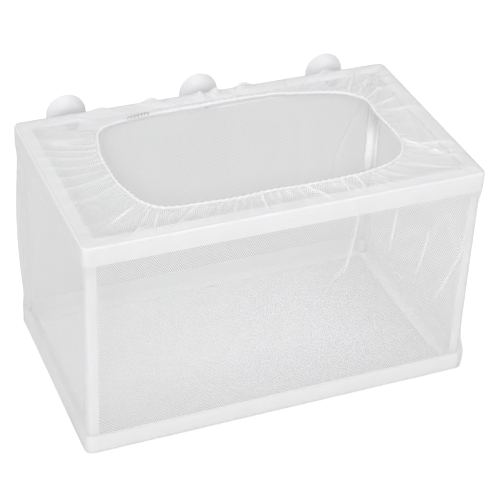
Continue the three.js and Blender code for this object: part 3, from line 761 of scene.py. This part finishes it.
def skirt_rows(outline, outward, share):
    """The gathered top of the bag, from the top edge in to the hem."""
    edge = outline - outward * TOP_EDGE_RADIUS
    inner = mouth_points(outline - MOUTH_MIDDLE, HEM_RADIUS * SKIRT_END_SHARE)
    across = np.linalg.norm(inner - edge, axis=1)
    tangent = np.roll(inner, -1, axis=0) - np.roll(inner, 1, axis=0)
    tangent /= np.linalg.norm(tangent, axis=1, keepdims=True)
    way = np.sin(np.linspace(0, np.pi / 2, SKIRT_ROWS))[:, None]
    column = share[None, :] + np.zeros_like(way)
    to_hem = (1 - way) * across[None, :]
    from_edge = way * across[None, :]
    flat = edge[None] + (inner - edge)[None] * way[..., None]
    inset = (np.array([HALF_LENGTH, HALF_WIDTH]) - np.abs(flat - MIDDLE)).min(axis=-1)
    free = smooth_step(inset, FLANGE_WIDTH, FLANGE_WIDTH * FREE_START_SHARE)
    rear = smooth_step(outward[None, :, 1], *REAR_FACING)

    height, slide, folded = gathers(column, way, to_hem)
    crumple = random_curve(*CRUMPLE_WAVES)(column + CRUMPLE_LEAN * way)
    height += CRUMPLE_HEIGHT * crumple * np.sin(np.pi * way)
    height -= SKIRT_SAG * free * np.sin(np.pi * way)
    # The gathers run out where the hem holds them
    height *= HEM_HOLD_SHARE + (1 - HEM_HOLD_SHARE) * smooth_step(to_hem, 0.0, HEM_HOLD_REACH)
    for x, stand, width in REAR_PUFFS:
        puff = rear * bump(outline[None, :, 0], x, width) * bump(from_edge, PUFF_INSET, PUFF_DEPTH)
        height += stand * puff
        folded += PUFF_WHITENESS * puff

    flat = flat + slide[..., None] * tangent[None]
    for line, stand in SKIRT_FOLDS:
        near, pull_x, pull_y = crease(flat[..., 0], flat[..., 1], line, FOLD_WIDTH)
        height += stand * near
        folded += FOLD_WHITENESS * near ** 2
        flat += np.stack([pull_x, pull_y], -1)
    # Over the strips the cloth lies on them
    height = np.where(free > 0, height, np.maximum(height, 0))
    level = TOP + FABRIC_GAP * (1 - way) + (HEM_LEVEL - TOP) * way ** 2
    return np.concatenate([flat, (level + height)[..., None]], axis=-1), across, way, folded


def bag_body():
    """Sides and gathered top of the bag, one cloth from the floor's seam to the mouth's hem."""
    outline, outward, spots = rounded_outline(HALF_LENGTH, HALF_WIDTH, CORNER_RADIUS, OUTLINE_POINTS)
    share = spots[:-1] / spots[-1]
    tangent = np.stack([-outward[:, 1], outward[:, 0]], -1)
    heights = np.linspace(FLOOR_LEVEL, TOP + FABRIC_GAP - TOP_EDGE_RADIUS, SIDE_ROWS)[:, None]
    heights = heights + np.zeros((1, OUTLINE_POINTS))
    offset, along, upward, side_fold = side_shape(outline, outward, share[None, :], heights)
    flat = outline[None] + outward[None] * offset[..., None] + tangent[None] * along[..., None]
    side = np.concatenate([flat, (heights + upward)[..., None]], axis=-1)

    angles = np.linspace(0, np.pi / 2, EDGE_ROWS + 1)[1:-1]
    rim = []
    for angle in angles:
        inset = TOP_EDGE_RADIUS * (1 - math.cos(angle)) - FABRIC_GAP * math.cos(angle)
        rise = TOP + FABRIC_GAP - TOP_EDGE_RADIUS * (1 - math.sin(angle))
        ring = outline - outward * inset
        rim.append(np.concatenate([ring, np.full((OUTLINE_POINTS, 1), rise)], axis=1))
    skirt, across, way, skirt_fold = skirt_rows(outline, outward, share)
    points = np.concatenate([side, np.array(rim), skirt], axis=0)
    rim_fold = np.repeat(skirt_fold[:1], len(rim), axis=0)
    fold = np.concatenate([side_fold, rim_fold, skirt_fold], axis=0)

    up = np.concatenate([heights[:, 0], heights[-1, 0] + TOP_EDGE_RADIUS * angles])
    beyond = up[-1] + way * np.append(across, across[0])[None]
    rise = np.concatenate([up[:, None] + np.zeros((1, OUTLINE_POINTS + 1)), beyond], axis=0)
    places = np.stack([spots[None] + np.zeros_like(rise), rise], -1)
    body = piece("bag_body", grid_mesh("bag_body", points, places, fold=fold), tulle, "net_fabric",
                 "net_front", "net_rear", "net_left", "net_right", "net_skirt",
                 *(f"net_corner_{end}_{side}" for end in ("front", "rear") for side in ("left", "right")))
    return body, points[0], outline, spots[-1], float(across.mean())


def rippled(along, across, waves, sway, sway_waves):
    """Waves along one direction that sway from side to side."""
    return np.sin(along * waves + sway * np.sin(across * sway_waves))


def bag_floor(outline, edge):
    """The bag's floor, a sheet from seam to seam that lies slack under the ring that stands on it."""
    x, y = np.meshgrid(np.linspace(LEFT, RIGHT, FLOOR_COLUMNS), np.linspace(FRONT, REAR, FLOOR_ROWS))
    # Its corners are rounded like the frame's
    over_x = x - np.clip(x, LEFT + CORNER_RADIUS, RIGHT - CORNER_RADIUS)
    over_y = y - np.clip(y, FRONT + CORNER_RADIUS, REAR - CORNER_RADIUS)
    over = np.hypot(over_x, over_y)
    keep = np.minimum(1, CORNER_RADIUS / np.maximum(over, NEAR_ZERO))
    flat = np.stack([x - over_x * (1 - keep), y - over_y * (1 - keep)], -1)
    # Its edge follows the foot of the sides
    gaps = np.linalg.norm(flat.reshape(-1, 1, 2) - outline[None], axis=2)
    nearest = gaps.argmin(axis=1)
    reach = np.exp(-gaps.min(axis=1) / FLOOR_EDGE_BLEND)[:, None]
    flat = flat + ((edge[nearest, :2] - outline[nearest]) * reach).reshape(flat.shape)

    slack_start = FLOOR_SLACK_SHARE * FLANGE_WIDTH
    inside = smooth_step(HALF_LENGTH - np.abs(x - MIDDLE[0]), FLANGE_WIDTH, slack_start)
    inside *= smooth_step(HALF_WIDTH - np.abs(y - MIDDLE[1]), FLANGE_WIDTH, slack_start)
    ripple = rippled(x, y, *RIPPLE_ALONG) * rippled(y, x, *RIPPLE_ACROSS)
    level = FLOOR_LEVEL + inside * FLOOR_RIPPLE * (1 + ripple)
    points = np.concatenate([flat, level[..., None]], axis=-1)
    return piece("bag_floor", grid_mesh("bag_floor", points, flat, closed=False), floor_tulle, "net_fabric",
                 "net_floor")


def swept(name, path, radius, sides, material, slot, *nodes, closed=True):
    """A round tube along a path, with its cloth coordinates."""
    along = np.roll(path, -1, axis=0) - np.roll(path, 1, axis=0) if closed else np.gradient(path, axis=0)
    along /= np.linalg.norm(along, axis=1, keepdims=True)
    up = np.array([0.0, 0.0, 1.0])
    side = np.cross(along, up)
    side /= np.linalg.norm(side, axis=1, keepdims=True)
    top = np.cross(side, along)
    radii = np.broadcast_to(radius, (len(path),))
    angles = np.arange(sides) / sides * 2 * np.pi
    rings = [path + radii[:, None] * (side * math.cos(a) + top * math.sin(a)) for a in angles]
    points = np.array(rings)
    points = np.concatenate([points, points[:1]], axis=0)
    length = np.linalg.norm(np.roll(path, -1, axis=0) - path, axis=1)
    around = np.concatenate([[0], np.cumsum(length)])[:len(path) + closed]
    turn = np.arange(sides + 1)[:, None] / sides * 2 * np.pi * float(np.mean(radii))
    places = np.stack(np.broadcast_arrays(around[None], turn), -1)
    mesh = grid_mesh(name, points, places, closed)
    weld(mesh)
    return piece(name, mesh, material, slot, *nodes)


def weld(mesh):
    """Join points that lie on one spot, and turn every face outwards."""
    work = bmesh.new()
    work.from_mesh(mesh)
    bmesh.ops.remove_doubles(work, verts=work.verts, dist=WELD_DISTANCE)
    bmesh.ops.recalc_face_normals(work, faces=work.faces)
    work.to_mesh(mesh)
    work.free()


def mouth_path(count):
    """Points of the mouth's curve, evenly spaced."""
    angles = np.linspace(0, 2 * np.pi, 4 * count, endpoint=False)
    around = mouth_points(np.stack([np.cos(angles), np.sin(angles)], -1) * MOUTH_HALF, 0.0)
    around = np.concatenate([around, around[:1]])
    lengths = np.concatenate([[0], np.cumsum(np.linalg.norm(np.diff(around, axis=0), axis=1))])
    spots = np.arange(count) / count * lengths[-1]
    return np.stack([np.interp(spots, lengths, around[:, axis]) for axis in range(2)], -1)


def hem_and_elastic():
    """The casing round the mouth, ruffled by its gathers, and the elastic cord inside it."""
    share = np.arange(HEM_POINTS) / HEM_POINTS
    path = mouth_path(HEM_POINTS)
    gathered = 2 * np.pi * GATHER_COUNT * share
    lift = HEM_LIFT[0] * np.sin(gathered) + HEM_LIFT[1] * random_curve(*HEM_LIFT_WAVES)(share)
    path = np.concatenate([path, (HEM_LEVEL + lift)[:, None]], axis=1)
    uneven = HEM_RUFFLE_UNEVENNESS * random_curve(*HEM_RUFFLE_WAVES)(share)
    ruffle = 1 + HEM_RUFFLE_SHARE * np.sin(gathered + uneven)
    # The casing is bunched up, and hangs lower, behind and left of the mouth's middle
    bunched = bump(path[:, 0], *HEM_BUNCH) * (path[:, 1] > MOUTH_MIDDLE[1])
    radii = HEM_RADIUS * (HEM_FILL_SHARE * ruffle + HEM_BUNCH_SHARE * bunched)
    path[:, 2] -= HEM_RADIUS * HEM_BUNCH_SHARE * bunched
    casing = swept("mouth_casing", path, radii, HEM_SIDES, hem_tulle, "hem_fabric", "mouth_hem")
    cord = swept("mouth_cord", path, ELASTIC_RADIUS, ELASTIC_SIDES, white_thread, "elastic", "mouth_elastic")
    return casing, cord


def stitches():
    """The zigzag that joins the elastic's ends, sewn over the hem at the rear left."""
    path = mouth_path(STITCH_SAMPLES)
    spots = path[(path[:, 0] > STITCH_FROM) & (path[:, 0] < STITCH_TO) & (path[:, 1] > MOUTH_MIDDLE[1])]
    # Four steps to a stitch: out, back, in and back
    count = 4 * STITCH_COUNT + 1
    middle = spots[np.linspace(0, len(spots) - 1, count).astype(int)]
    along = np.gradient(middle, axis=0)
    across = np.stack([along[:, 1], -along[:, 0]], -1) / np.linalg.norm(along, axis=1, keepdims=True)
    swing = np.sin(np.arange(count) * np.pi / 2)
    uneven = 1 + STITCH_UNEVENNESS * random_curve(*STITCH_WAVES)(np.arange(count) / count)
    flat = middle + across * (swing * uneven * STITCH_REACH)[:, None]
    rise = HEM_LEVEL + HEM_RADIUS * (STITCH_TOP_SHARE - STITCH_DROP_SHARE * np.abs(swing))
    radii = np.full(count, STITCH_RADIUS)
    radii[[0, -1]] = STITCH_TIP_RADIUS
    return swept("hem_stitches", np.concatenate([flat, rise[:, None]], axis=1), radii, STITCH_SIDES,
                 grey_thread, "elastic", closed=False)


def bottom_seam(edge):
    """The rolled seam round the foot of the bag, on every second point of its edge."""
    path = edge[::2].copy()
    path[:, 2] = SEAM_LEVEL
    return swept("bag_seam", path, SEAM_RADIUS, SEAM_SIDES, seam_tulle, "hem_fabric", "bottom_seam")


# Strips and cups

def moulded(node):
    """A strip of the frame with softened edges."""
    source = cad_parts[node]
    mesh = source.data.copy()
    mesh.materials.clear()
    work = bmesh.new()
    work.from_mesh(mesh)
    work.transform(source.matrix_world)
    bmesh.ops.remove_doubles(work, verts=work.verts, dist=CAD_WELD)
    flat = math.radians(FLAT_ANGLE)
    bmesh.ops.dissolve_limit(work, angle_limit=flat, verts=work.verts, edges=work.edges)
    for face in work.faces:
        face.smooth = True
    for edge in work.edges:
        edge.smooth = edge.calc_face_angle(0) < math.radians(SHARP_ANGLE)
    work.to_mesh(mesh)
    work.free()
    strip = piece(f"{node}_moulded", mesh, plastic, "frame_plastic", node)
    soften = strip.modifiers.new("soften", "BEVEL")
    soften.width = RAIL_BEVEL
    soften.segments = 2
    soften.harden_normals = True
    soften.limit_method = "ANGLE"
    soften.angle_limit = math.radians(BEVEL_ANGLE)
    return strip


def curve(start, first, second, end, count):
    """Points of a cubic curve from start to end, drawn by two others."""
    share = np.linspace(0, 1, count)[:, None]
    rest = 1 - share
    parts = rest ** 3, 3 * share * rest ** 2, 3 * share ** 2 * rest, share ** 3
    points = sum(part * np.array(spot) for part, spot in zip(parts, (start, first, second, end)))
    return [tuple(point) for point in points]


def rounded(corner, side_r, side_back):
    """A corner of the cup's section cut twice, towards its two sides."""
    r, back = corner
    middle = [CUP_CORNER_SHARE * (first + second) for first, second in zip(side_r, side_back)]
    moves = (side_r, middle, side_back)
    return [(r + move[0] * CUP_ROUNDING, back + move[1] * CUP_ROUNDING) for move in moves]


def cup_section(radius):
    """Half a cup's section: distance from its axis, and from the rear strip's face."""
    head_end = -CUP_HEAD_START - CUP_HEAD_LENGTH
    collar_end = CUP_COLLAR_START + CUP_COLLAR_LENGTH
    stem_end = collar_end + CUP_COLLAR_LENGTH
    hollow_top = CUP_DEPTH - CUP_HOLLOW_DEPTH
    lip = CUP_DEPTH - CUP_LIP_THICKNESS
    section = curve((0, head_end), (CUP_HEAD_RADIUS * CUP_HEAD_DOME_SHARE, head_end),
                    (CUP_HEAD_RADIUS, head_end), (CUP_HEAD_RADIUS, -CUP_HEAD_START - CUP_ROUNDING),
                    CUP_HEAD_POINTS)
    section += [(CUP_HEAD_RADIUS - CUP_ROUNDING, -CUP_HEAD_START), (CUP_NECK_RADIUS, -CUP_HEAD_START),
                (CUP_NECK_RADIUS, CUP_COLLAR_START)]
    section += rounded((CUP_COLLAR_RADIUS, CUP_COLLAR_START), (-1, 0), (0, 1))
    section += rounded((CUP_COLLAR_RADIUS, collar_end), (0, -1), (-1, 0))
    section.append((CUP_STEM_RADIUS, collar_end))
    section += curve((CUP_STEM_RADIUS, stem_end), (radius * CUP_SHOULDER_SHARE, stem_end),
                     (radius * CUP_SIDE_SHARE, hollow_top), (radius, lip), CUP_BELL_POINTS)
    section += rounded((radius, CUP_DEPTH), (0, -1), (-1, 0))
    section += curve((radius - CUP_LIP_WIDTH, CUP_DEPTH),
                     (radius * CUP_HOLLOW_SIDE_SHARE, hollow_top + CUP_LIP_THICKNESS),
                     (radius * CUP_HOLLOW_TOP_SHARE, hollow_top), (0, hollow_top), CUP_HOLLOW_POINTS)
    return section


def suction_cup(side):
    """A clear cup with a thin lip, round the axis it swivels on, with its head held behind the web."""
    node = f"suction_cup_{side}"
    low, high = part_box(node)
    middle_x, middle_z = (low[0] + high[0]) / 2, (low[2] + high[2]) / 2
    face = high[1] - CUP_DEPTH
    turns = np.arange(CUP_SEGMENTS) / CUP_SEGMENTS * 2 * np.pi
    rings = [[(middle_x + r * math.sin(turn), face + back, middle_z + r * math.cos(turn)) for turn in turns]
             for r, back in cup_section((high[0] - low[0]) / 2)]
    points = np.array(rings)
    mesh = grid_mesh(f"{node}_clear", points, np.zeros((len(points), CUP_SEGMENTS + 1, 2)))
    weld(mesh)
    cup = piece(f"{node}_clear", mesh, vinyl, "clear_cup", node)
    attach(cup, f"cup_{side}")
    return cup


# Studio

def camera():
    """The photograph's camera."""
    yaw, elevation, roll = (math.radians(v) for v in (CAMERA_YAW, CAMERA_ELEVATION, CAMERA_ROLL))
    ahead = Vector((-math.sin(yaw) * math.cos(elevation), math.cos(yaw) * math.cos(elevation),
                    -math.sin(elevation)))
    level = Vector((math.cos(yaw), math.sin(yaw), 0))
    upward = level.cross(ahead)
    right = level * math.cos(roll) + upward * math.sin(roll)
    top = upward * math.cos(roll) - level * math.sin(roll)
    data = bpy.data.cameras.new("camera")
    data.sensor_width = SENSOR_WIDTH
    data.lens = SENSOR_WIDTH * FOCAL_PIXELS / IMAGE_PIXELS
    data.clip_end = 4 * FLOOR_SIZE
    thing = bpy.data.objects.new("camera", data)
    bpy.context.scene.collection.objects.link(thing)
    turn = Matrix((right, top, -ahead)).transposed().to_4x4()
    thing.matrix_world = Matrix.Translation(CAMERA_AIM - ahead * CAMERA_DISTANCE) @ turn
    bpy.context.scene.camera = thing


def sun(name, strength, spread, yaw, elevation):
    """A broad lamp far away, its spread, yaw and elevation in degrees."""
    lamp = bpy.data.lights.new(name, "SUN")
    lamp.energy = strength
    lamp.angle = math.radians(spread)
    thing = bpy.data.objects.new(name, lamp)
    bpy.context.scene.collection.objects.link(thing)
    yaw, elevation = math.radians(yaw), math.radians(elevation)
    beam = Vector((-math.sin(yaw) * math.cos(elevation), math.cos(yaw) * math.cos(elevation),
                   -math.sin(elevation)))
    thing.rotation_euler = beam.to_track_quat("-Z", "Y").to_euler()


def studio():
    """A white floor, an even sky and the lamps."""
    bpy.ops.mesh.primitive_plane_add(size=FLOOR_SIZE, location=(0, 0, 0))
    ground = bpy.context.object
    ground.name = "studio_floor"
    ground.data.materials.append(floor_material())

    world = bpy.data.worlds.new("studio")
    world.use_nodes = True
    world.node_tree.nodes["Background"].inputs[0].default_value = (1, 1, 1, 1)
    world.node_tree.nodes["Background"].inputs[1].default_value = SKY_STRENGTH
    bpy.context.scene.world = world

    for name, lamp in LAMPS.items():
        sun(name, *lamp)
    bpy.context.scene.view_settings.view_transform = "Standard"


camera()
studio()
for rail in [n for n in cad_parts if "rail" in n or "post" in n]:
    moulded(rail)
for cup_side in ("left", "centre", "right"):
    suction_cup(cup_side)
body, foot_edge, outline, around, skirt_depth = bag_body()
floor_cloth = bag_floor(outline, foot_edge)
casing, cord = hem_and_elastic()
seam = bottom_seam(foot_edge)
stitches()
